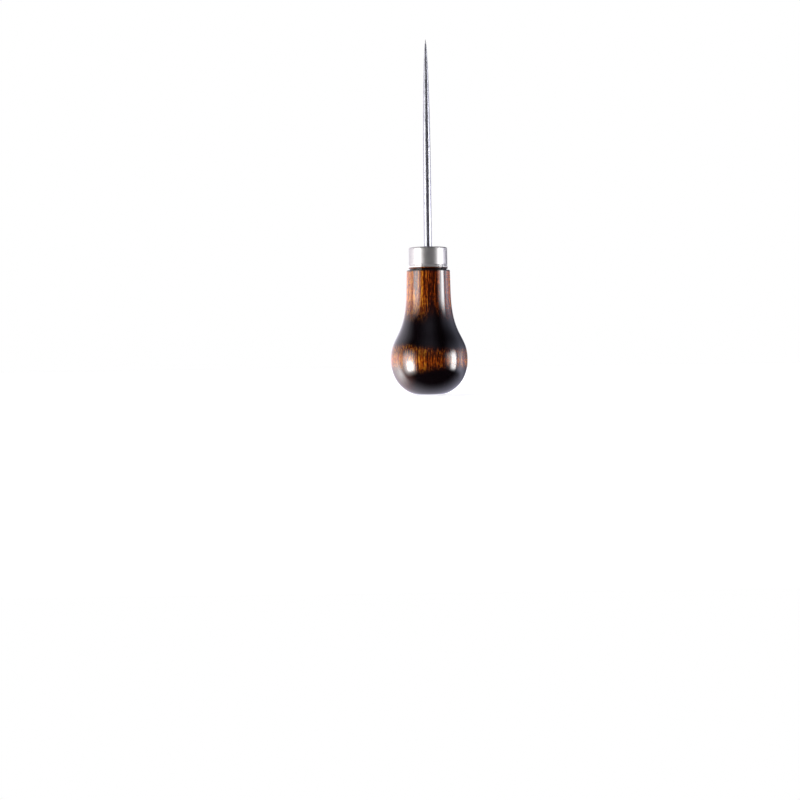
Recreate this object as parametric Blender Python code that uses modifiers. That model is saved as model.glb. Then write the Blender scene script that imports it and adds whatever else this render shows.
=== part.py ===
"""Scratch awl for leatherwork: a needle-pointed steel blade bedded in a pear-shaped wooden handle.

Four pieces, as they would come apart on a bench: the turned handle, the drawn steel ferrule pressed over
its tenon, the blade with its tang, and the cured epoxy that beds the tang in the handle's bore.
The awl stands on the flat of its butt, point up. Lengths are in metres. The origin is the centre of the
butt flat, and +Z runs along the blade to its point.
"""

import math

import bpy
from mathutils import Vector
from mathutils.geometry import interpolate_bezier

# Handle: a pear turned from one blank of hardwood, with a tenon for the ferrule
BUTT_FLAT_DIAMETER = 0.0086
BULB_DIAMETER = 0.0294
BULB_HEIGHT = 0.0132  # butt flat to the bulb's widest ring
COVE_HEIGHT = 0.0257  # widest ring to the foot of the neck
NECK_LENGTH = 0.0085  # foot of the neck to the shoulder
NECK_FLARE = 0.0002  # how much the neck's radius grows from shoulder to foot
SHOULDER_STEP = 0.00075  # how far the shoulder stands out past the seat ring
SHOULDER_EDGE_RADIUS = 0.0004
SEAT_RING_HEIGHT = 0.0012  # the dark ring that shows under the ferrule
TENON_CHAMFER = 0.0005

# Pull of the outline's curve handles, as shares of the stretch that each one shapes
COVE_PULL = 0.68
BULB_RISE_PULL = 0.38
BULB_FALL_PULL = 0.70
BUTT_PULL = 0.35

# Ferrule: a cap drawn from steel sheet, with a rolled lip at its mouth
FERRULE_DIAMETER = 0.0146
FERRULE_HEIGHT = 0.0073
FERRULE_WALL = 0.0006
FERRULE_TOP_RADIUS = 0.0005
LIP_HEIGHT = 0.0007
LIP_PROUD = 0.00025

# Blade: a round steel rod, ground to a needle point above the ferrule and left plain below as the tang
BLADE_DIAMETER = 0.0030
BLADE_LENGTH = 0.0790  # ferrule top to the point
BLADE_TAPER_POWER = 3.0  # how soon the needle swells to the rod, going down from the point
BLADE_POINT_POWER = 0.6  # how slim the point is: 1 is a cone, and less is blunter
TANG_LENGTH = 0.0330  # ferrule top to the tang's lower end
TANG_CHAMFER = 0.0004

# Epoxy: the bed between the tang and the bore
EPOXY_WALL = 0.0004

# Clearances between pieces
FIT_GAP = 0.0001  # pressed and bedded faces
BLADE_HOLE_GAP = 0.0003  # round the blade in the ferrule's top

# Fineness of the turned surfaces
HANDLE_STEPS = 48
FERRULE_STEPS = 48
ROD_STEPS = 24
CURVE_POINTS = 16
FILLET_POINTS = 4
TAPER_POINTS = 18
MERGE_DISTANCE = 0.000001

# Sizes that follow from the ones above
BLADE_RADIUS = BLADE_DIAMETER / 2
FERRULE_RADIUS = FERRULE_DIAMETER / 2
FERRULE_BORE_RADIUS = FERRULE_RADIUS - FERRULE_WALL
LIP_RADIUS = FERRULE_RADIUS + LIP_PROUD
TENON_RADIUS = FERRULE_BORE_RADIUS - FIT_GAP
SHOULDER_RADIUS = LIP_RADIUS + SHOULDER_STEP
NECK_FOOT_RADIUS = SHOULDER_RADIUS + NECK_FLARE
NECK_SLOPE = NECK_FLARE / NECK_LENGTH
EPOXY_INNER_RADIUS = BLADE_RADIUS + FIT_GAP
EPOXY_RADIUS = EPOXY_INNER_RADIUS + EPOXY_WALL
BORE_RADIUS = EPOXY_RADIUS + FIT_GAP

# Heights above the butt flat
NECK_FOOT_Z = BULB_HEIGHT + COVE_HEIGHT
SHOULDER_Z = NECK_FOOT_Z + NECK_LENGTH
SEAT_Z = SHOULDER_Z + SEAT_RING_HEIGHT
FERRULE_Z = SEAT_Z + FIT_GAP
FERRULE_TOP_Z = FERRULE_Z + FERRULE_HEIGHT
TENON_TOP_Z = FERRULE_TOP_Z - FERRULE_WALL - FIT_GAP
TANG_END_Z = FERRULE_TOP_Z - TANG_LENGTH
EPOXY_Z = TANG_END_Z - FIT_GAP - EPOXY_WALL
BORE_FLOOR_Z = EPOXY_Z - FIT_GAP


def clear_scene():
    for obj in list(bpy.data.objects):
        bpy.data.objects.remove(obj)


def arc(centre, radius, start_degrees, end_degrees):
    """Points of a fillet about centre, as (radius, height) pairs, both ends included."""
    turn = end_degrees - start_degrees
    angles = [math.radians(start_degrees + turn * i / FILLET_POINTS) for i in range(FILLET_POINTS + 1)]
    return [(centre[0] + radius * math.cos(a), centre[1] + radius * math.sin(a)) for a in angles]


def bezier(start, start_handle, end_handle, end):
    """Points of one Bezier stretch of an outline, as (radius, height) pairs, both ends included."""
    knots = [Vector((r, z, 0)) for r, z in (start, start_handle, end_handle, end)]
    return [(p.x, p.y) for p in interpolate_bezier(*knots, CURVE_POINTS)]


def pear_outline():
    """The handle's outer side from the foot of the neck to the edge of the butt flat.

    The cove leaves the neck along the neck's own slope, so no crease shows at the foot.
    """
    bulb_radius = BULB_DIAMETER / 2
    flat_radius = BUTT_FLAT_DIAMETER / 2
    cove_pull = COVE_PULL * COVE_HEIGHT
    bulb_top = bezier(
        (NECK_FOOT_RADIUS, NECK_FOOT_Z),
        (NECK_FOOT_RADIUS + NECK_SLOPE * cove_pull, NECK_FOOT_Z - cove_pull),
        (bulb_radius, BULB_HEIGHT + BULB_RISE_PULL * COVE_HEIGHT),
        (bulb_radius, BULB_HEIGHT),
    )
    bulb_bottom = bezier(
        (bulb_radius, BULB_HEIGHT),
        (bulb_radius, BULB_HEIGHT * (1 - BULB_FALL_PULL)),
        (flat_radius + BUTT_PULL * (bulb_radius - flat_radius), 0),
        (flat_radius, 0),
    )
    return bulb_top + bulb_bottom[1:]


def handle_outline():
    """From the middle of the bore's floor, up the bore, over the tenon and down the outside to the butt."""
    bore = [(0, BORE_FLOOR_Z), (BORE_RADIUS, BORE_FLOOR_Z), (BORE_RADIUS, TENON_TOP_Z)]
    tenon = [
        (TENON_RADIUS - TENON_CHAMFER, TENON_TOP_Z),
        (TENON_RADIUS, TENON_TOP_Z - TENON_CHAMFER),
        (TENON_RADIUS, SEAT_Z),
    ]
    seat_ring = [(LIP_RADIUS, SEAT_Z), (LIP_RADIUS, SHOULDER_Z)]
    edge_centre = (SHOULDER_RADIUS - SHOULDER_EDGE_RADIUS, SHOULDER_Z - SHOULDER_EDGE_RADIUS)
    shoulder = arc(edge_centre, SHOULDER_EDGE_RADIUS, 90, 0)
    return bore + tenon + seat_ring + shoulder + pear_outline() + [(0, 0)]


def ferrule_outline():
    """Closed section of the cap above its mouth: up the bore, out of the blade's hole, down the outside."""
    hole_radius = BLADE_RADIUS + BLADE_HOLE_GAP
    inside_top = FERRULE_HEIGHT - FERRULE_WALL
    inside = [(FERRULE_BORE_RADIUS, 0), (FERRULE_BORE_RADIUS, inside_top)]
    top = [(hole_radius, inside_top), (hole_radius, FERRULE_HEIGHT)]
    edge_centre = (FERRULE_RADIUS - FERRULE_TOP_RADIUS, FERRULE_HEIGHT - FERRULE_TOP_RADIUS)
    edge = arc(edge_centre, FERRULE_TOP_RADIUS, 90, 0)
    lip_radius = LIP_HEIGHT / 2
    lip_centre = (LIP_RADIUS - lip_radius, lip_radius)
    lip_join = math.degrees(math.acos((FERRULE_RADIUS - lip_centre[0]) / lip_radius))
    lip = arc(lip_centre, lip_radius, lip_join, -90)
    return inside + top + edge + lip


def blade_outline():
    """Down the outside from the point to the tang's end, measured from the top of the ferrule."""
    taper = []
    for i in range(TAPER_POINTS + 1):
        reach = (i / TAPER_POINTS) ** 2  # closer together near the point, where the radius changes fast
        swell = 1 - (1 - reach) ** BLADE_TAPER_POWER
        taper.append((BLADE_RADIUS * swell**BLADE_POINT_POWER, BLADE_LENGTH * (1 - reach)))
    tang = [
        (BLADE_RADIUS, TANG_CHAMFER - TANG_LENGTH),
        (BLADE_RADIUS - TANG_CHAMFER, -TANG_LENGTH),
        (0, -TANG_LENGTH),
    ]
    return taper + tang


def epoxy_outline():
    """A cup round the tang: from its inner floor up the inside, over the brim and down the outside."""
    depth = TENON_TOP_Z - EPOXY_Z
    inside = [(0, EPOXY_WALL), (EPOXY_INNER_RADIUS, EPOXY_WALL), (EPOXY_INNER_RADIUS, depth)]
    outside = [(EPOXY_RADIUS, depth), (EPOXY_RADIUS, 0), (0, 0)]
    return inside + outside


def finish(name, colour, roughness, metallic=0.0):
    material = bpy.data.materials.new(name)
    material.use_nodes = True
    shader = material.node_tree.nodes["Principled BSDF"]
    shader.inputs["Base Color"].default_value = (*colour, 1)
    shader.inputs["Roughness"].default_value = roughness
    shader.inputs["Metallic"].default_value = metallic
    return material


def turned(name, outline, steps, height, material, closed=False):
    """A piece turned about +Z from its outline, with its own origin at that height above the butt."""
    mesh = bpy.data.meshes.new(name)
    edges = [(i, i + 1) for i in range(len(outline) - 1)]
    if closed:
        edges.append((len(outline) - 1, 0))
    mesh.from_pydata([(r, 0, z) for r, z in outline], edges, [])
    mesh.materials.append(material)
    piece = bpy.data.objects.new(name, mesh)
    piece.location.z = height
    screw = piece.modifiers.new("turn", "SCREW")
    screw.steps = steps
    screw.render_steps = steps
    screw.use_merge_vertices = True
    screw.merge_threshold = MERGE_DISTANCE
    piece.modifiers.new("even_shading", "WEIGHTED_NORMAL")
    return piece


def main():
    clear_scene()
    wood = finish("lacquered_wood", (0.20, 0.075, 0.015), 0.25)
    cap_steel = finish("satin_steel", (0.72, 0.71, 0.70), 0.28, 1.0)
    blade_steel = finish("polished_steel", (0.62, 0.62, 0.65), 0.18, 1.0)
    resin = finish("cured_epoxy", (0.55, 0.42, 0.22), 0.40)
    pieces = [
        turned("handle", handle_outline(), HANDLE_STEPS, 0, wood),
        turned("ferrule", ferrule_outline(), FERRULE_STEPS, FERRULE_Z, cap_steel, closed=True),
        turned("blade", blade_outline(), ROD_STEPS, FERRULE_TOP_Z, blade_steel),
        turned("tang_epoxy", epoxy_outline(), ROD_STEPS, EPOXY_Z, resin),
    ]
    awl = bpy.data.collections.new("scratch_awl")
    bpy.context.scene.collection.children.link(awl)
    frame = bpy.data.objects.new("awl_frame", None)
    awl.objects.link(frame)
    for piece in pieces:
        awl.objects.link(piece)
        piece.parent = frame


main()
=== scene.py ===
"""Scratch awl, dressed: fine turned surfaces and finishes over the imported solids.

Lengths are in metres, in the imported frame: the butt flat is at z = 0 and +Z runs along the blade to its
point.
"""

import math

import bmesh
import bpy
import numpy as np
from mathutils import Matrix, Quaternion, Vector


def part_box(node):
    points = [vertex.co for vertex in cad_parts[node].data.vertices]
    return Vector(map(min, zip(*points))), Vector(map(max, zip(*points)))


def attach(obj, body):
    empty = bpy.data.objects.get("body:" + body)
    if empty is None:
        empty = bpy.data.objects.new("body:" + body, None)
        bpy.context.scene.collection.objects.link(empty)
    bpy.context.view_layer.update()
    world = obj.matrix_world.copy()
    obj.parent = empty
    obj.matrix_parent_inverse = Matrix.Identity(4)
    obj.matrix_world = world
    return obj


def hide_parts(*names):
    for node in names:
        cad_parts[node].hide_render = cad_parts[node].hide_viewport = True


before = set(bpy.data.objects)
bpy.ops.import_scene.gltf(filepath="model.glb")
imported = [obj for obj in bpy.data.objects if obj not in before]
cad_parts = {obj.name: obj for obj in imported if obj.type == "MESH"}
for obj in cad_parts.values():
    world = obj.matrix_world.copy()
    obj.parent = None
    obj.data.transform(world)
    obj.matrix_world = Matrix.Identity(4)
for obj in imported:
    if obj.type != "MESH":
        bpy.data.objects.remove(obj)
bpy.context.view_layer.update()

# Handle
# A pear turned from one blank of ring-porous hardwood. Its butt, waist and seat groove are scorched with a
# flame, then it is sanded along the grain and lacquered. The seat groove's black is scorch and painted shade.
# The ferrule is pressed over the tenon at its top.
HANDLE_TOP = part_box("handle")[1]
FERRULE_LOW, FERRULE_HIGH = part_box("ferrule")
EPOXY_LOW, EPOXY_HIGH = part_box("tang_epoxy")
FIT_GAP = 0.0001
BORE_FLOOR_Z = EPOXY_LOW.z - FIT_GAP
BORE_RADIUS = EPOXY_HIGH.x + FIT_GAP
BULB_RADIUS = HANDLE_TOP.x
BULB_Z = 0.0132
BUTT_FLAT_RADIUS = 0.0043
COVE_HEIGHT = 0.0257
COVE_PULL = 0.68
BULB_RISE_PULL = 0.38
BULB_FALL_PULL = 0.70
BUTT_PULL = 0.35
NECK_FOOT_RADIUS = 0.0085
SHOULDER_RADIUS = 0.0083
SHOULDER_EDGE = 0.0004
SEAT_RADIUS = FERRULE_HIGH.x
MOUTH_DROP = 0.0003  # the ferrule is drawn this much longer than its solid, down over the seat ring
MOUTH_Z = FERRULE_LOW.z - MOUTH_DROP
SEAT_Z = MOUTH_Z - FIT_GAP
SEAT_HEIGHT = 0.0009
SHOULDER_Z = SEAT_Z - SEAT_HEIGHT
BEAD_HEIGHT = 0.0004
BEAD_END_DEGREES = -40
GROOVE_DEPTH = 0.00055
GROOVE_POINTS = 13
TENON_RADIUS = 0.0066
TENON_CHAMFER = 0.0005
RIDGE_HEIGHT = 0.0000005
RIDGE_DRIFT = 110.0
RIDGES = np.arange(12, 46)
RIDGE_SEED = 11
HANDLE_AROUND = 256
SHARP_DEGREES = 40


def straight(start, end, count):
    """Points (radius, height) at even steps from start to end, both included."""
    return np.linspace(start, end, count)


def arc(centre, radius, start_degrees, end_degrees, count=9):
    """Points at even angles on a circle: centre plus radius times (cosine, sine)."""
    angle = np.radians(np.linspace(start_degrees, end_degrees, count))
    return np.array(centre) + radius * np.stack([np.cos(angle), np.sin(angle)], axis=1)


def bezier(start, start_pull, end_pull, end, count):
    """Points of a cubic Bezier: its four points weighted by (1-t)^3, 3t(1-t)^2, 3t^2(1-t) and t^3."""
    t = np.linspace(0, 1, count)
    weights = np.stack([(1 - t) ** 3, 3 * t * (1 - t) ** 2, 3 * t**2 * (1 - t), t**3], axis=1)
    return weights @ np.array([start, start_pull, end_pull, end])


def handle_skin():
    """Outer outline, downwards: seat bead, sine-shaped groove, shoulder, straight neck, cove, bulb and butt.

    The cove leaves the neck at the neck's own slope, so no crease breaks the gloss.
    """
    bead_radius = BEAD_HEIGHT / 2
    bead_centre = (SEAT_RADIUS - bead_radius, SEAT_Z - bead_radius)
    bead = arc(bead_centre, bead_radius, 90, BEAD_END_DEGREES, count=14)
    groove = straight(bead[-1], (SEAT_RADIUS, SHOULDER_Z), GROOVE_POINTS)[1:]
    groove[:, 0] -= GROOVE_DEPTH * np.sin(np.linspace(0, np.pi, GROOVE_POINTS)[1:])
    edge = arc((SHOULDER_RADIUS - SHOULDER_EDGE, SHOULDER_Z - SHOULDER_EDGE), SHOULDER_EDGE, 90, 0)
    foot = np.array([NECK_FOOT_RADIUS, BULB_Z + COVE_HEIGHT])
    neck = straight(edge[-1], foot, count=28)
    fall = (foot - edge[-1]) / (edge[-1, 1] - foot[1])
    widest = (BULB_RADIUS, BULB_Z)
    rise_pull = (BULB_RADIUS, BULB_Z + BULB_RISE_PULL * COVE_HEIGHT)
    cove = bezier(foot, foot + COVE_PULL * COVE_HEIGHT * fall, rise_pull, widest, count=96)
    fall_pull = (BULB_RADIUS, BULB_Z * (1 - BULB_FALL_PULL))
    butt_pull = (BUTT_FLAT_RADIUS + BUTT_PULL * (BULB_RADIUS - BUTT_FLAT_RADIUS), 0)
    butt = bezier(widest, fall_pull, butt_pull, (BUTT_FLAT_RADIUS, 0), count=56)
    return np.concatenate([bead, groove, edge, neck[1:], cove[1:], butt[1:]])


def grain_ridges(outline, around):
    """Faint ridges that the sanded grain leaves.

    They are a sum of cosines round the handle, whose phases drift with height.
    """
    seeded = np.random.default_rng(RIDGE_SEED)
    phase = seeded.uniform(0, 2 * np.pi, RIDGES.size)
    drift = seeded.normal(0, RIDGE_DRIFT, RIDGES.size)
    angle = np.arange(around) * 2 * np.pi / around
    turns = RIDGES * angle[:, None] + phase
    return RIDGE_HEIGHT * np.cos(turns + drift * outline[:, 1, None, None]).sum(axis=2)


def turned(name, outline, around, relief=0.0, closed=False):
    """Turns an outline about Z: ring point k is at angle 2 pi k / around.

    The relief is added to its radius. Ring points on the axis merge into a pole, and a closed outline joins
    its last ring to its first.
    """
    angle = np.arange(around) * 2 * np.pi / around
    radius = outline[:, :1] + relief + np.zeros(around)
    height = outline[:, 1:] + np.zeros(around)
    places = np.stack([radius * np.cos(angle), radius * np.sin(angle), height], axis=2)
    index = np.arange(radius.size).reshape(radius.shape)
    low = np.roll(index, -1, axis=0) if closed else index[1:]
    high = index if closed else index[:-1]
    faces = np.stack([high, low, np.roll(low, -1, axis=1), np.roll(high, -1, axis=1)], axis=2)
    mesh = bpy.data.meshes.new(name)
    mesh.from_pydata(places.reshape(-1, 3), [], faces.reshape(-1, 4).tolist())
    merge_poles(mesh)
    mesh.shade_smooth()
    mesh.set_sharp_from_angle(angle=math.radians(SHARP_DEGREES))
    piece = bpy.data.objects.new(name, mesh)
    bpy.context.collection.objects.link(piece)
    return piece


def merge_poles(mesh, reach=1e-8):
    """Merges the points that share a place, which closes each pole."""
    work = bmesh.new()
    work.from_mesh(mesh)
    bmesh.ops.remove_doubles(work, verts=work.verts, dist=reach)
    work.to_mesh(mesh)
    work.free()


def put(tree, kind, inputs=None, **settings):
    """Adds a node. settings are its own options; inputs are values, or nodes and sockets to link, by name."""
    node = tree.nodes.new("ShaderNode" + kind)
    for option, value in settings.items():
        setattr(node, option, value)
    for name, value in (inputs or {}).items():
        socket = node.inputs[name] if isinstance(name, int) else in_use(node.inputs, name)
        if isinstance(value, bpy.types.Node):
            tree.links.new(in_use(value.outputs), socket)
        elif isinstance(value, bpy.types.NodeSocket):
            tree.links.new(value, socket)
        else:
            socket.default_value = value
    return node


def in_use(sockets, name=None):
    """The first socket, of that name if one is given, that the node's settings leave in use."""
    return next(s for s in sockets if s.enabled and name in (None, s.name))


def calc(tree, operation, first, second=0.0):
    """A Math node on one or two values or links."""
    return put(tree, "Math", {0: first, 1: second}, operation=operation)


def weighed(tree, *shares):
    """Sum of values or links, each times its share."""
    total = 0.0
    for value, share in shares:
        total = put(tree, "Math", {0: value, 1: share, 2: total}, operation="MULTIPLY_ADD")
    return total


def spread(tree, value, low, high, to_low=0.0, to_high=1.0):
    """Maps low to high of a value smoothly to to_low to to_high, and holds it outside them."""
    return put(
        tree,
        "MapRange",
        {"Value": value, "From Min": low, "From Max": high, "To Min": to_low, "To Max": to_high},
        interpolation_type="SMOOTHSTEP",
    )


def ramp(tree, factor, stops):
    """A colour ramp through (place, colour) stops."""
    node = put(tree, "ValToRGB", {"Fac": factor})
    elements = node.color_ramp.elements
    while len(elements) < len(stops):
        elements.new(1.0)
    for element, (place, colour) in zip(elements, stops):
        element.position = place
        element.color = (*colour, 1)
    return node


def stretched_noise(tree, across, along, seed, detail=2.0):
    """Noise whose blots are across wide and along tall, in metres, in the object's own coordinates."""
    where = put(tree, "TexCoord").outputs["Object"]
    scaled = put(tree, "Mapping", {"Vector": where, "Scale": (1 / across, 1 / across, 1 / along)})
    return put(
        tree,
        "TexNoise",
        {"Vector": scaled, "W": seed, "Scale": 1.0, "Detail": detail},
        noise_dimensions="4D",
    )


def finish(name, **constants):
    """A new material, its node tree and its Principled shader.

    Values that are the same all over are set on the shader's own sockets.
    """
    material = bpy.data.materials.new(name)
    material.use_nodes = True
    shader = material.node_tree.nodes["Principled BSDF"]
    for socket, value in constants.items():
        shader.inputs[socket.replace("_", " ").title().replace("Ior", "IOR")].default_value = value
    return material, material.node_tree, shader


GOLD = (0.46, 0.182, 0.0150)
AMBER = (0.205, 0.037, 0.0030)
UMBER = (0.033, 0.0044, 0.0009)
DARK_UMBER = (0.009, 0.0014, 0.0005)
WOOD_TONES = [(0.19, GOLD), (0.39, AMBER), (0.64, UMBER), (0.95, DARK_UMBER)]
SCORCH = (0.0016, 0.0009, 0.0013)
BROWNED = (0.018, 0.0042, 0.0016)
BROWNED_X, BROWNED_Z = (-0.0045, -0.0095), (0.013, 0.009)
# Each mark's width and length, its seed, the noise at which it starts and is full, and its share of the tone
MARKS = {
    "dashes": (0.00040, 0.0014, 8.0, 0.36, 0.64, 0.21),
    "streaks": (0.00080, 0.080, 6.0, 0.38, 0.62, 0.15),
    "lines": (0.00044, 0.120, 4.0, 0.43, 0.57, 0.27),
    "pores": (0.00024, 0.0026, 2.0, 0.50, 0.60, 0.15),
}
RING_SPACING, RING_SHARE = 0.0050, 0.07
RING_SCALE = 2 * math.pi / 20 / RING_SPACING  # a wave texture multiplies its scale by 20
PITH, PITH_STRETCH = (0.0365, 0.012, 0.0), (1.0, 1.0, 0.07)
CLOUD_WIDTH, CLOUD_LENGTH, CLOUD_SHARE = 0.0040, 0.030, 0.07
HEART_X, HEART_WIDTH, HEART_SHARE = 0.0032, 0.0085, 0.26
HEART_FADE = (0.016, 0.036, 0.62)  # two heights, and how strong the heart is at the lower one
FIGURE_X, FIGURE_WIDTH, FIGURE_SHARE = -0.0050, 0.0060, -0.11
FIGURE_Z, FIGURE_RISE = 0.0358, 0.0050
NOISE_RANGE = (0.3, 0.7)
GLOSS = (0.045, 0.070)
GROOVE_DULLNESS = 0.12
PIT_STRENGTH, PIT_DEPTH, DASH_PIT = 0.09, 0.00002, 0.6
BELT_TOP_LEFT, BELT_TOP_RIGHT, BELT_STEP_X = 0.0169, 0.0163, (-0.0010, 0.0050)
BELT_TOP_LIFT, BELT_LIFT_X = 0.0010, (-0.0050, -0.0085)
BELT_LOW, BELT_LOW_FADE = 0.0100, (-0.0016, 0.0034)
BELT_DROP, DROP_X, DROP_WIDTH = 0.0013, -0.0045, 0.0090
SMOKY_FADE, SMOKY_SHARE = (-0.0004, 0.0024), 0.54
CLEAR_FADE, CLEAR_SHARE = (-0.0036, -0.0016), 0.46
WAIST_TO, NECK_FROM = 0.0256, 0.0374
TONGUE, TONGUE_X, TONGUE_WIDTH = 0.0020, 0.0020, 0.0042
WANDER, WANDER_WIDTH, WANDER_LENGTH = 0.0016, 0.0040, 0.008
SOOT_POWER = 1.6
# Scorch and painted shade in the seat groove: it is painted black where it would lie in shade
RIM_SOOT_AND_SHADE = (2.2, 0.8)  # in shoulder edges below the shoulder
BEAD_SOOT_AND_SHADE = (1.2, 0.8)  # in bead heights below the seat
BEAD_SHARE_OF_SOOT_AND_SHADE = 0.40


def near(tree, value, middle, reach):
    """1 where a value is at its middle, falling smoothly to 0 at its reach to either side."""
    return spread(tree, calc(tree, "ABSOLUTE", calc(tree, "SUBTRACT", value, middle)), 0.0, reach, 1.0, 0.0)


def unburnt(tree, across, height):
    """How much of the wood's own colour the flame has left, from 0 to 1.

    The bare neck and the bare belt round the bulb fade into the black with edges that wander. The belt is
    smoky in its upper part and dips lower in front. Its top edge steps down to the right and lifts at the far
    left, and a dark tongue of the waist reaches up into the neck.
    """
    blots = stretched_noise(tree, WANDER_WIDTH, WANDER_LENGTH, seed=3.0, detail=3.0)
    at = calc(tree, "ADD", height, weighed(tree, (blots, WANDER), (1.0, -WANDER / 2)))
    step = spread(tree, across, *BELT_STEP_X, BELT_TOP_LEFT, BELT_TOP_RIGHT)
    top = weighed(tree, (spread(tree, across, *BELT_LIFT_X), BELT_TOP_LIFT), (step, 1.0))
    low = weighed(tree, (near(tree, across, DROP_X, DROP_WIDTH), -BELT_DROP), (1.0, BELT_LOW))
    above = calc(tree, "SUBTRACT", at, top)
    smoky = spread(tree, above, *SMOKY_FADE, 1.0, 0.0)
    clear = spread(tree, above, *CLEAR_FADE, 1.0, 0.0)
    under_top = weighed(tree, (smoky, SMOKY_SHARE), (clear, CLEAR_SHARE))
    over_low = spread(tree, calc(tree, "SUBTRACT", at, low), *BELT_LOW_FADE)
    belt = calc(tree, "MULTIPLY", under_top, over_low)
    tongue = weighed(tree, (near(tree, across, TONGUE_X, TONGUE_WIDTH), -TONGUE), (at, 1.0))
    neck = spread(tree, tongue, WAIST_TO, NECK_FROM)
    return calc(tree, "POWER", calc(tree, "MAXIMUM", belt, neck), SOOT_POWER)


def groove_soot_and_shade(tree, height):
    """Scorch and painted shade: 1 in the groove under the ferrule and on the shoulder's rim, less on the
    bead.
    """
    rim_from, rim_to = (SHOULDER_Z - share * SHOULDER_EDGE for share in RIM_SOOT_AND_SHADE)
    bead_from, bead_to = (SEAT_Z - share * BEAD_HEIGHT for share in BEAD_SOOT_AND_SHADE)
    rim = spread(tree, height, rim_from, rim_to)
    bead = spread(tree, height, bead_from, bead_to, 1.0, BEAD_SHARE_OF_SOOT_AND_SHADE)
    return calc(tree, "MULTIPLY", rim, bead)


def lacquered_wood():
    """Wood under clear lacquer, from gold to dark umber by its marks, its rings and its dark heart.

    A paler figure shows low on the neck. The flame blackens the wood, and low on the left the scorch is
    thinner and browner. The seat groove is blackened with scorch and painted shade.
    """
    material, tree, shader = finish("lacquered_wood", ior=1.5)
    where = put(tree, "TexCoord").outputs["Object"]
    across, _, height = put(tree, "SeparateXYZ", {"Vector": where}).outputs
    from_pith = put(tree, "Mapping", {"Vector": where, "Location": PITH, "Scale": PITH_STRETCH})
    rings = put(
        tree,
        "TexWave",
        {
            "Vector": from_pith,
            "Scale": RING_SCALE,
            "Distortion": 1.2,
            "Detail": 3.0,
            "Detail Scale": 2.0,
        },
        wave_type="RINGS",
        rings_direction="Z",
        wave_profile="SIN",
    )
    marks = {
        name: spread(tree, stretched_noise(tree, width, length, seed), start, full)
        for name, (width, length, seed, start, full, _) in MARKS.items()
    }
    cloud = stretched_noise(tree, CLOUD_WIDTH, CLOUD_LENGTH, seed=5.0)
    heart = near(tree, across, HEART_X, HEART_WIDTH)
    heart = calc(tree, "MULTIPLY", heart, spread(tree, height, *HEART_FADE))
    figure = near(tree, across, FIGURE_X, FIGURE_WIDTH)
    figure = calc(tree, "MULTIPLY", figure, near(tree, height, FIGURE_Z, FIGURE_RISE))
    grain = weighed(tree, *[(marks[name], row[-1]) for name, row in MARKS.items()], (rings, RING_SHARE))
    tone = weighed(tree, (grain, 1.0), (cloud, CLOUD_SHARE), (heart, HEART_SHARE), (figure, FIGURE_SHARE))
    bare = ramp(tree, tone, WOOD_TONES)
    thin = calc(tree, "MULTIPLY", spread(tree, across, *BROWNED_X), spread(tree, height, *BROWNED_Z))
    char = ramp(tree, thin, [(0.0, SCORCH), (1.0, BROWNED)])
    # Scorch and painted shade black out the seat groove under the ferrule
    groove = groove_soot_and_shade(tree, height)
    left = calc(tree, "MULTIPLY", unburnt(tree, across, height), calc(tree, "SUBTRACT", 1.0, groove))
    colour = put(
        tree,
        "Mix",
        {"Factor": left, "A": char.outputs["Color"], "B": bare.outputs["Color"]},
        data_type="RGBA",
    )
    tree.links.new(in_use(colour.outputs), shader.inputs["Base Color"])
    gloss = spread(tree, cloud, *NOISE_RANGE, *GLOSS)
    roughness = weighed(tree, (gloss, 1.0), (groove, GROOVE_DULLNESS))
    tree.links.new(in_use(roughness.outputs), shader.inputs["Roughness"])
    pits = weighed(tree, (marks["pores"], 1.0), (marks["dashes"], DASH_PIT))
    bump = put(tree, "Bump", {"Height": pits, "Strength": PIT_STRENGTH, "Distance": PIT_DEPTH}, invert=True)
    tree.links.new(bump.outputs["Normal"], shader.inputs["Normal"])
    return material


bore = straight((0, BORE_FLOOR_Z), (BORE_RADIUS, BORE_FLOOR_Z), count=2)
tenon = np.array(
    [
        (BORE_RADIUS, HANDLE_TOP.z),
        (TENON_RADIUS - TENON_CHAMFER, HANDLE_TOP.z),
        (TENON_RADIUS, HANDLE_TOP.z - TENON_CHAMFER),
        (TENON_RADIUS, SEAT_Z),
    ]
)
skin = handle_skin()
hidden = np.concatenate([bore, tenon])
relief = np.concatenate(
    [np.zeros((len(hidden), HANDLE_AROUND)), grain_ridges(skin, HANDLE_AROUND), np.zeros((1, HANDLE_AROUND))]
)
handle = turned("pear_handle", np.concatenate([hidden, skin, [(0, 0)]]), HANDLE_AROUND, relief)
handle.data.materials.append(lacquered_wood())
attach(handle, "root")
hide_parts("handle")

# Ferrule
# A cap drawn from thin steel sheet and pressed over the tenon so that the wood can't split. Its wall widens a
# hair to the mouth, which is rolled into a lip below a scored line. The blade comes out of a punched hole.
FERRULE_RADIUS = 0.0073
FERRULE_WALL = 0.0006
FERRULE_EDGE = 0.0005
MOUTH_FLARE = 0.00005
FERRULE_HOLE_RADIUS = 0.0018
HOLE_EDGE = 0.00015
LIP_HEIGHT = 0.0005
SCORE_WIDTH = 0.00060
SCORE_DEPTH = 0.00020
SCORE_POINTS = 7
FERRULE_AROUND = 192
# A painted highlight along the lip: the steel is painted lighter below these heights over the mouth
LIP_HIGHLIGHT_FROM, LIP_HIGHLIGHT_TO = 0.0009, 0.0004


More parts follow.
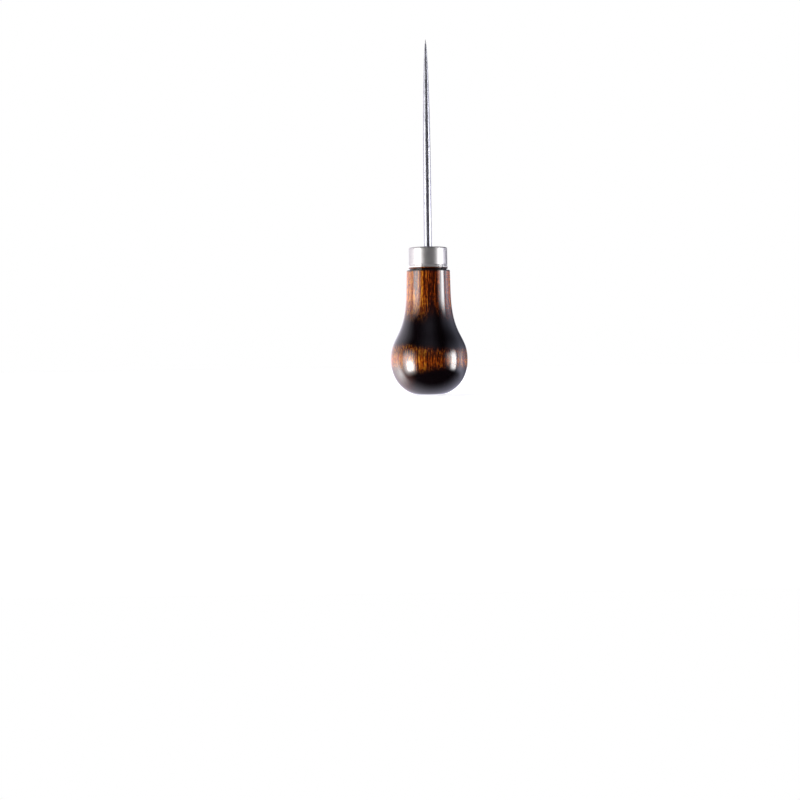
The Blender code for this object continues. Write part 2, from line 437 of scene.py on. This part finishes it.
def ferrule_outline():
    """Closed section of the cap: up the inside, over the punched top, down to the scored line and the lip.

    The wall is straight, and MOUTH_FLARE wider at the scored line than at the top. The line is a half sine
    SCORE_DEPTH deep.
    """
    bore_radius = FERRULE_RADIUS - FERRULE_WALL
    low, high = MOUTH_Z, FERRULE_HIGH.z
    inside = straight((bore_radius, low), (bore_radius, high - FERRULE_WALL), count=6)
    hole_radius = FERRULE_HOLE_RADIUS
    under = straight((hole_radius, high - FERRULE_WALL), (hole_radius, high - HOLE_EDGE), count=3)
    hole = arc((hole_radius + HOLE_EDGE, high - HOLE_EDGE), HOLE_EDGE, 180, 90, count=6)
    top = arc((FERRULE_RADIUS - FERRULE_EDGE, high - FERRULE_EDGE), FERRULE_EDGE, 90, 0, count=12)
    mouth_radius = FERRULE_RADIUS + MOUTH_FLARE
    lip_radius = LIP_HEIGHT / 2
    lip_centre = (FERRULE_HIGH.x - lip_radius, low + lip_radius)
    lip_join = math.degrees(math.acos((mouth_radius - lip_centre[0]) / lip_radius))
    lip = arc(lip_centre, lip_radius, lip_join, -90, count=14)
    score = np.linspace(0, np.pi, SCORE_POINTS)
    score_z = lip[0, 1] + SCORE_WIDTH * (1 - score / np.pi)
    scored = np.stack([mouth_radius - SCORE_DEPTH * np.sin(score), score_z], axis=1)
    wall = straight(top[-1], scored[0], count=24)
    return np.concatenate([inside, under, hole, top, wall[1:-1], scored[:-1], lip])


SMUDGES = 260.0
LINE_RANGE = (0.42, 0.75)
LINE_DULLNESS = 0.5


def worked_steel():
    """Group for steel with tool lines: noise stretched along the lines shades the colour and sets the gloss.

    Lines is how many marks there are to the metre in each direction. Smudges from handling, SMUDGES to the
    metre, dull the gloss in patches.
    """
    group = bpy.data.node_groups.new("worked_steel", "ShaderNodeTree")
    for name, kind in (
        ("Lines", "NodeSocketVector"),
        ("Steel", "NodeSocketColor"),
        ("Shade", "NodeSocketColor"),
        ("Polish", "NodeSocketFloat"),
        ("Dullness", "NodeSocketFloat"),
    ):
        group.interface.new_socket(name, in_out="INPUT", socket_type=kind)
    for name, kind in (
        ("Color", "NodeSocketColor"),
        ("Roughness", "NodeSocketFloat"),
        ("Height", "NodeSocketFloat"),
    ):
        group.interface.new_socket(name, in_out="OUTPUT", socket_type=kind)
    given = group.nodes.new("NodeGroupInput").outputs
    result = group.nodes.new("NodeGroupOutput").inputs
    where = put(group, "TexCoord").outputs["Object"]
    along = put(group, "VectorMath", {0: where, 1: given["Lines"]}, operation="MULTIPLY")
    lines = put(group, "TexNoise", {"Vector": along, "Scale": 1.0, "Detail": 4.0, "Roughness": 0.65})
    smudge = put(group, "TexNoise", {"Vector": where, "Scale": SMUDGES, "Detail": 3.0})
    shaded = put(
        group,
        "Mix",
        {"Factor": spread(group, lines, *LINE_RANGE), "A": given["Steel"], "B": given["Shade"]},
        data_type="RGBA",
    )
    worn = weighed(group, (lines, LINE_DULLNESS), (smudge, 1 - LINE_DULLNESS))
    dulled = put(
        group,
        "Mix",
        {"Factor": worn, "A": given["Polish"], "B": given["Dullness"]},
        data_type="FLOAT",
    )
    group.links.new(in_use(shaded.outputs), result["Color"])
    group.links.new(in_use(dulled.outputs), result["Roughness"])
    group.links.new(in_use(lines.outputs), result["Height"])
    return group


TOOL_LINES = worked_steel()
LINE_STRENGTH = 0.3
# Lighter steel colour: a painted highlight on the ferrule's lip, and lighter steel at the needle's point
LIGHTENED_STEEL = (0.52, 0.51, 0.50)


def steel(name, lines, colour, shade, polish, dullness, depth, metal, bright):
    """A steel finish made with the tool lines group: lines in marks to the metre, depth in metres.

    metal is under 1 because a dull film on the steel scatters some of the light. The steel's colour is made
    lighter past a height, which is given as where the change starts and ends: on the ferrule's lip this is a
    painted highlight.
    """
    material, tree, shader = finish(name, metallic=metal)
    worked = put(
        tree,
        "Group",
        {"Lines": lines, "Steel": (*colour, 1), "Shade": (*shade, 1), "Polish": polish, "Dullness": dullness},
        node_tree=TOOL_LINES,
    )
    marked = worked.outputs["Height"]
    bump = put(tree, "Bump", {"Height": marked, "Strength": LINE_STRENGTH, "Distance": depth})
    height = put(tree, "SeparateXYZ", {"Vector": put(tree, "TexCoord").outputs["Object"]}).outputs["Z"]
    # Lighter steel past a height: on the ferrule's lip this is a painted highlight
    lightened = put(
        tree,
        "Mix",
        {"Factor": spread(tree, height, *bright), "A": worked.outputs["Color"], "B": (*LIGHTENED_STEEL, 1)},
        data_type="RGBA",
    )
    tree.links.new(in_use(lightened.outputs), shader.inputs["Base Color"])
    tree.links.new(worked.outputs["Roughness"], shader.inputs["Roughness"])
    tree.links.new(bump.outputs["Normal"], shader.inputs["Normal"])
    return material


# The ferrule's finish has a painted highlight along its rolled lip
ferrule = turned("drawn_ferrule", ferrule_outline(), FERRULE_AROUND, closed=True)
ferrule.data.materials.append(
    steel(
        "satin_steel",
        lines=(250, 250, 9000),
        colour=(0.292, 0.280, 0.277),
        shade=(0.252, 0.242, 0.239),
        polish=0.37,
        dullness=0.46,
        depth=0.000004,
        metal=0.88,
        bright=(MOUTH_Z + LIP_HIGHLIGHT_FROM, MOUTH_Z + LIP_HIGHLIGHT_TO),
    )
)
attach(ferrule, "root")
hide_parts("ferrule")

# Epoxy
# Cured resin that beds the tang in the handle's bore. It is poured in before the blade and sets as a thin
# amber sleeve with a few bubbles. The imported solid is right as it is, so it only gets its finish.
CLOUDY_RESIN = (0.50, 0.33, 0.12)
CLEAR_RESIN = (0.68, 0.52, 0.26)
RESIN_TONES = [(0.35, CLOUDY_RESIN), (0.70, CLEAR_RESIN)]
RESIN_GLOSS = (0.15, 0.35)
CLOUDINESS_WIDTH, CLOUDINESS_LENGTH = 0.0012, 0.0030
BUBBLES = 1400.0
BUBBLE_RIM = (0.10, 0.22)
BUBBLE_STRENGTH, BUBBLE_DEPTH = 0.5, 0.00003


def cured_epoxy():
    """Amber resin, cloudy in patches, with small bubbles that pit its surface, BUBBLES to the metre."""
    material, tree, shader = finish("cured_epoxy", ior=1.55)
    cloud = stretched_noise(tree, CLOUDINESS_WIDTH, CLOUDINESS_LENGTH, seed=1.0)
    where = put(tree, "TexCoord").outputs["Object"]
    bubbles = put(tree, "TexVoronoi", {"Vector": where, "Scale": BUBBLES})
    pits = spread(tree, bubbles, *BUBBLE_RIM)
    bump = put(tree, "Bump", {"Height": pits, "Strength": BUBBLE_STRENGTH, "Distance": BUBBLE_DEPTH})
    colour = ramp(tree, cloud, RESIN_TONES)
    roughness = spread(tree, cloud, *NOISE_RANGE, *RESIN_GLOSS)
    tree.links.new(colour.outputs["Color"], shader.inputs["Base Color"])
    tree.links.new(roughness.outputs["Result"], shader.inputs["Roughness"])
    tree.links.new(bump.outputs["Normal"], shader.inputs["Normal"])
    return material


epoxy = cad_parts["tang_epoxy"]
epoxy.data.materials.clear()
epoxy.data.materials.append(cured_epoxy())

# Blade
# A round steel rod ground to a long needle on a belt, then polished along its length. The plain tang below
# the ferrule is bedded in the epoxy.
BLADE_LOW, BLADE_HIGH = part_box("blade")
BLADE_RADIUS = BLADE_HIGH.x
TANG_CHAMFER = 0.0004
TAPER_POWER = 3.0
POINT_POWER = 0.6
GRIND_WAVE = 0.000006
GRIND_LOBES = np.array([2, 3, 4, 5])
GRIND_PACE = (300, 1400)
GRIND_SEED = 5
NEEDLE_POINTS = 120
BLADE_AROUND = 64
# The steel's colour is lighter towards the needle's point, fading in over its last 3 mm
POINT_LIGHTENED_FROM, POINT_LIGHTENED_TO = -0.003, 0.001


def blade_outline():
    """The needle, then the tang.

    With t as the share of the needle's length from its point, its radius is the rod's times
    (1 - (1 - t)^TAPER_POWER)^POINT_POWER.
    """
    reach = np.linspace(0, 1, NEEDLE_POINTS) ** 2
    length = BLADE_HIGH.z - FERRULE_HIGH.z
    swell = 1 - (1 - reach) ** TAPER_POWER
    needle = np.stack([BLADE_RADIUS * swell**POINT_POWER, BLADE_HIGH.z - length * reach], axis=1)
    tang = [
        (BLADE_RADIUS, BLADE_LOW.z + TANG_CHAMFER),
        (BLADE_RADIUS - TANG_CHAMFER, BLADE_LOW.z),
        (0, BLADE_LOW.z),
    ]
    return np.concatenate([needle, tang])


def grind_waves(outline, around):
    """Slight unevenness of grinding by hand, in step with the needle's radius.

    It is a sum of lobes, each a cosine round the needle times a cosine along it.
    """
    seeded = np.random.default_rng(GRIND_SEED)
    pace = seeded.uniform(*GRIND_PACE, GRIND_LOBES.size)
    phase = seeded.uniform(0, 2 * np.pi, (2, GRIND_LOBES.size))
    angle = np.arange(around) * 2 * np.pi / around
    round_it = np.cos(GRIND_LOBES * angle[:, None] + phase[0])
    along_it = np.cos(pace * outline[:, 1, None] + phase[1])
    share = outline[:, :1] / BLADE_RADIUS * (outline[:, 1:] > FERRULE_HIGH.z)
    return GRIND_WAVE * share * (along_it @ round_it.T)


needle = blade_outline()
blade = turned("needle_blade", needle, BLADE_AROUND, grind_waves(needle, BLADE_AROUND))
blade.data.materials.append(
    steel(
        "polished_steel",
        lines=(5200, 5200, 150),
        colour=(0.250, 0.250, 0.274),
        shade=(0.205, 0.205, 0.228),
        polish=0.32,
        dullness=0.42,
        depth=0.000002,
        metal=0.95,
        bright=(BLADE_HIGH.z + POINT_LIGHTENED_FROM, BLADE_HIGH.z + POINT_LIGHTENED_TO),
    )
)
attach(blade, "root")
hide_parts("blade")

# Studio floor
# A pale sheet lit softly from beneath, as on a light table. It fades to plain white away from the awl.
FLOOR_Z = -0.00005
FLOOR_RADIUS = 1.2
SHEET_COLOUR = (0.82, 0.82, 0.83, 1)
GLOW_REACH, GLOW = (0.01, 0.10), (0.74, 1.05)


def light_table(rings=24, around=96):
    """A flat disc: ring k of n has radius FLOOR_RADIUS times (k / (n - 1))^2."""
    reach = np.linspace(0, 1, rings) ** 2
    outline = np.stack([FLOOR_RADIUS * reach, np.full(rings, FLOOR_Z)], axis=1)
    return turned("floor", outline[::-1], around)


def table_sheet():
    """Pale diffuse sheet whose own glow grows with distance from the awl."""
    material, tree, shader = finish("table_sheet", base_color=SHEET_COLOUR, roughness=0.9)
    shader.inputs["Emission Color"].default_value = (1.0, 1.0, 1.0, 1)
    where = put(tree, "TexCoord").outputs["Object"]
    distance = put(tree, "VectorMath", {0: where}, operation="LENGTH").outputs["Value"]
    glow = spread(tree, distance, *GLOW_REACH, *GLOW)
    tree.links.new(glow.outputs["Result"], shader.inputs["Emission Strength"])
    return material


floor = light_table()
floor.data.materials.append(table_sheet())
floor.visible_glossy = False
floor.visible_shadow = False

# Studio light
# A soft box stands low on each side of the awl in a wider, weaker veil, with a dim panel beyond it. The right
# has a strip as well, and a faint panel hangs over the camera. The room is pale behind and dark in front.
LIGHT_DISTANCE = 1.5
LIGHT_CENTRE = np.array([0.0, 0.0, 0.03])


def soft_box(name, middle, reach, core, squareness, radiance, tint=(1.0, 1.0, 1.0), count=41):
    """A curved card round the awl, LIGHT_DISTANCE away, about a middle azimuth and elevation in degrees.

    Azimuth 0 is the camera's side and 90 the right. reach is how far it goes to the left, right, down and up.
    With u and v as shares of the reach, rho is (u^q + v^q)^(1/q), where q is the squareness. The glow is full
    up to rho = core and then falls as the square of the distance left to rho = 1.
    """
    left, right, down, up = reach
    turn, lift = np.meshgrid(np.linspace(-left, right, count), np.linspace(-down, up, count))
    u = np.where(turn < 0, -turn / left, turn / right)
    v = np.where(lift < 0, -lift / down, lift / up)
    rho = (u**squareness + v**squareness) ** (1 / squareness)
    glow = np.clip((1 - rho) / (1 - core), 0, 1) ** 2
    turn, lift = np.radians(middle[0] + turn), np.radians(middle[1] + lift)
    ray = np.stack([np.sin(turn) * np.cos(lift), -np.cos(turn) * np.cos(lift), np.sin(lift)], axis=2)
    places = LIGHT_CENTRE + LIGHT_DISTANCE * ray
    index = np.arange(count * count).reshape(count, count)
    faces = np.stack([index[:-1, :-1], index[1:, :-1], index[1:, 1:], index[:-1, 1:]], axis=2)
    mesh = bpy.data.meshes.new(name)
    mesh.from_pydata(places.reshape(-1, 3), [], faces.reshape(-1, 4).tolist())
    mesh.attributes.new("glow", "FLOAT", "POINT").data.foreach_set("value", glow.ravel())
    mesh.materials.append(box_glow(name, radiance, tint))
    card = bpy.data.objects.new(name, mesh)
    bpy.context.collection.objects.link(card)
    card.visible_camera = False


def box_glow(name, radiance, tint):
    """Emission of the card's own glow times its radiance. The card is clear, so the room shows through."""
    material = bpy.data.materials.new(name)
    material.use_nodes = True
    tree = material.node_tree
    tree.nodes.remove(tree.nodes["Principled BSDF"])
    glow = put(tree, "Attribute", attribute_name="glow").outputs["Fac"]
    lamp = put(tree, "Emission", {"Color": (*tint, 1), "Strength": calc(tree, "MULTIPLY", glow, radiance)})
    both = put(tree, "AddShader", {0: lamp, 1: put(tree, "BsdfTransparent")})
    tree.links.new(both.outputs["Shader"], tree.nodes["Material Output"].inputs["Surface"])
    return material


soft_box("left_box", (-65.2, -14.6), (13.8, 25.5, 16.5, 20.0), 0.47, 3.0, 23.0)
soft_box("left_veil", (-67.4, -11.6), (31.0, 34.0, 30.5, 39.0), 0.47, 3.0, 8.2)
soft_box("left_panel", (-104.0, -22.6), (53.8, 19.0, 33.0, 43.4), 0.08, 2.1, 7.6)
soft_box("right_box", (79.2, -8.6), (16.6, 12.5, 17.2, 31.5), 0.50, 3.5, 14.6)
soft_box("right_veil", (72.6, 4.3), (31.0, 23.0, 27.4, 13.8), 0.37, 3.0, 5.2)
soft_box("right_strip", (105.0, 2.0), (13.0, 22.0, 27.4, 16.0), 0.30, 3.0, 1.6)
soft_box("right_panel", (98.5, -13.2), (58.5, 64.3, 15.0, 66.0), 0.27, 3.3, 1.75, (0.80, 0.82, 1.06))
soft_box("overhead", (3.0, 44.8), (70.0, 50.0, 49.5, 35.8), 0.17, 2.5, 0.27, (0.84, 0.79, 1.0))

# How the room's tint and level follow the parts of a direction that point right, back and up
ROOM_LEFT = (0.97, 0.915, 1.05)
ROOM_RIGHT = (0.84, 0.83, 1.05)
TINT_RANGE = (-0.5, 0.5)
BEHIND_RIGHT, BEHIND_UP, BEHIND_RANGE = -0.181, -0.075, (-0.245, 0.639)
HIGH_RANGE, HIGH_SHARE = (-0.55, -0.10), 0.700
DIM_UP, DIM_RANGE, DIM_SHARE = 0.30, (-0.150, 0.470), -1.464
LOW_LEFT_RANGE, LOW_LEFT_SHARE = (0.05, -0.45), 0.32
UP_SHARE, ROOM_LEVEL = -0.250, 0.900


def pale_room():
    """World: plain white to the camera. To all else it is pale behind the awl and dark on the camera's side.

    The room's level is a sum of shares of the direction's parts. It is brightest low on the left, where it is
    also warmer, and it dims to the right.
    """
    world = bpy.data.worlds.new("studio")
    world.use_nodes = True
    tree = world.node_tree
    white = tree.nodes["Background"]
    white.inputs["Color"].default_value = (1, 1, 1, 1)
    ray = put(tree, "TexCoord").outputs["Generated"]
    right, back, up = put(tree, "SeparateXYZ", {"Vector": ray}).outputs
    behind = weighed(tree, (back, 1.0), (right, BEHIND_RIGHT), (up, BEHIND_UP))
    behind = spread(tree, behind, *BEHIND_RANGE)
    high = spread(tree, up, *HIGH_RANGE)
    dim = spread(tree, weighed(tree, (up, DIM_UP), (right, 1.0)), *DIM_RANGE)
    dim = calc(tree, "MULTIPLY", dim, high)
    low_left = spread(tree, right, *LOW_LEFT_RANGE)
    low_left = calc(tree, "MULTIPLY", low_left, calc(tree, "SUBTRACT", 1.0, high))
    level = weighed(tree, (dim, DIM_SHARE), (high, HIGH_SHARE), (low_left, LOW_LEFT_SHARE))
    level = weighed(tree, (level, 1.0), (up, UP_SHARE), (1.0, ROOM_LEVEL))
    strength = calc(tree, "MULTIPLY", behind, calc(tree, "MAXIMUM", level, 0.0))
    tint = ramp(tree, spread(tree, right, *TINT_RANGE), [(0.0, ROOM_LEFT), (1.0, ROOM_RIGHT)])
    room = put(tree, "Background", {"Color": tint.outputs["Color"], "Strength": strength})
    seen = put(tree, "LightPath").outputs["Is Camera Ray"]
    both = put(tree, "MixShader", {0: seen, 1: room, 2: white})
    tree.links.new(both.outputs["Shader"], tree.nodes["World Output"].inputs["Surface"])
    return world


bpy.context.scene.world = pale_room()
bpy.context.scene.view_settings.view_transform = "Standard"

# Camera
# It stands low and square to the awl, level with the bulb, and leans a little, as in the photograph.
CAMERA_PLACE = (-0.01137, -0.6, 0.015)
CAMERA_AIM = (-0.01137, 0.0, -0.0020)
CAMERA_ROLL = math.radians(-0.72)
CAMERA_LENS, CAMERA_SENSOR = 70.6, 36

camera = bpy.data.objects.new("camera", bpy.data.cameras.new("camera"))
camera.data.lens = CAMERA_LENS
camera.data.sensor_width = CAMERA_SENSOR
camera.location = CAMERA_PLACE
camera.rotation_mode = "QUATERNION"
aim = (Vector(CAMERA_AIM) - camera.location).to_track_quat("-Z", "Y")
camera.rotation_quaternion = aim @ Quaternion((0, 0, 1), CAMERA_ROLL)
bpy.context.collection.objects.link(camera)
bpy.context.scene.camera = camera
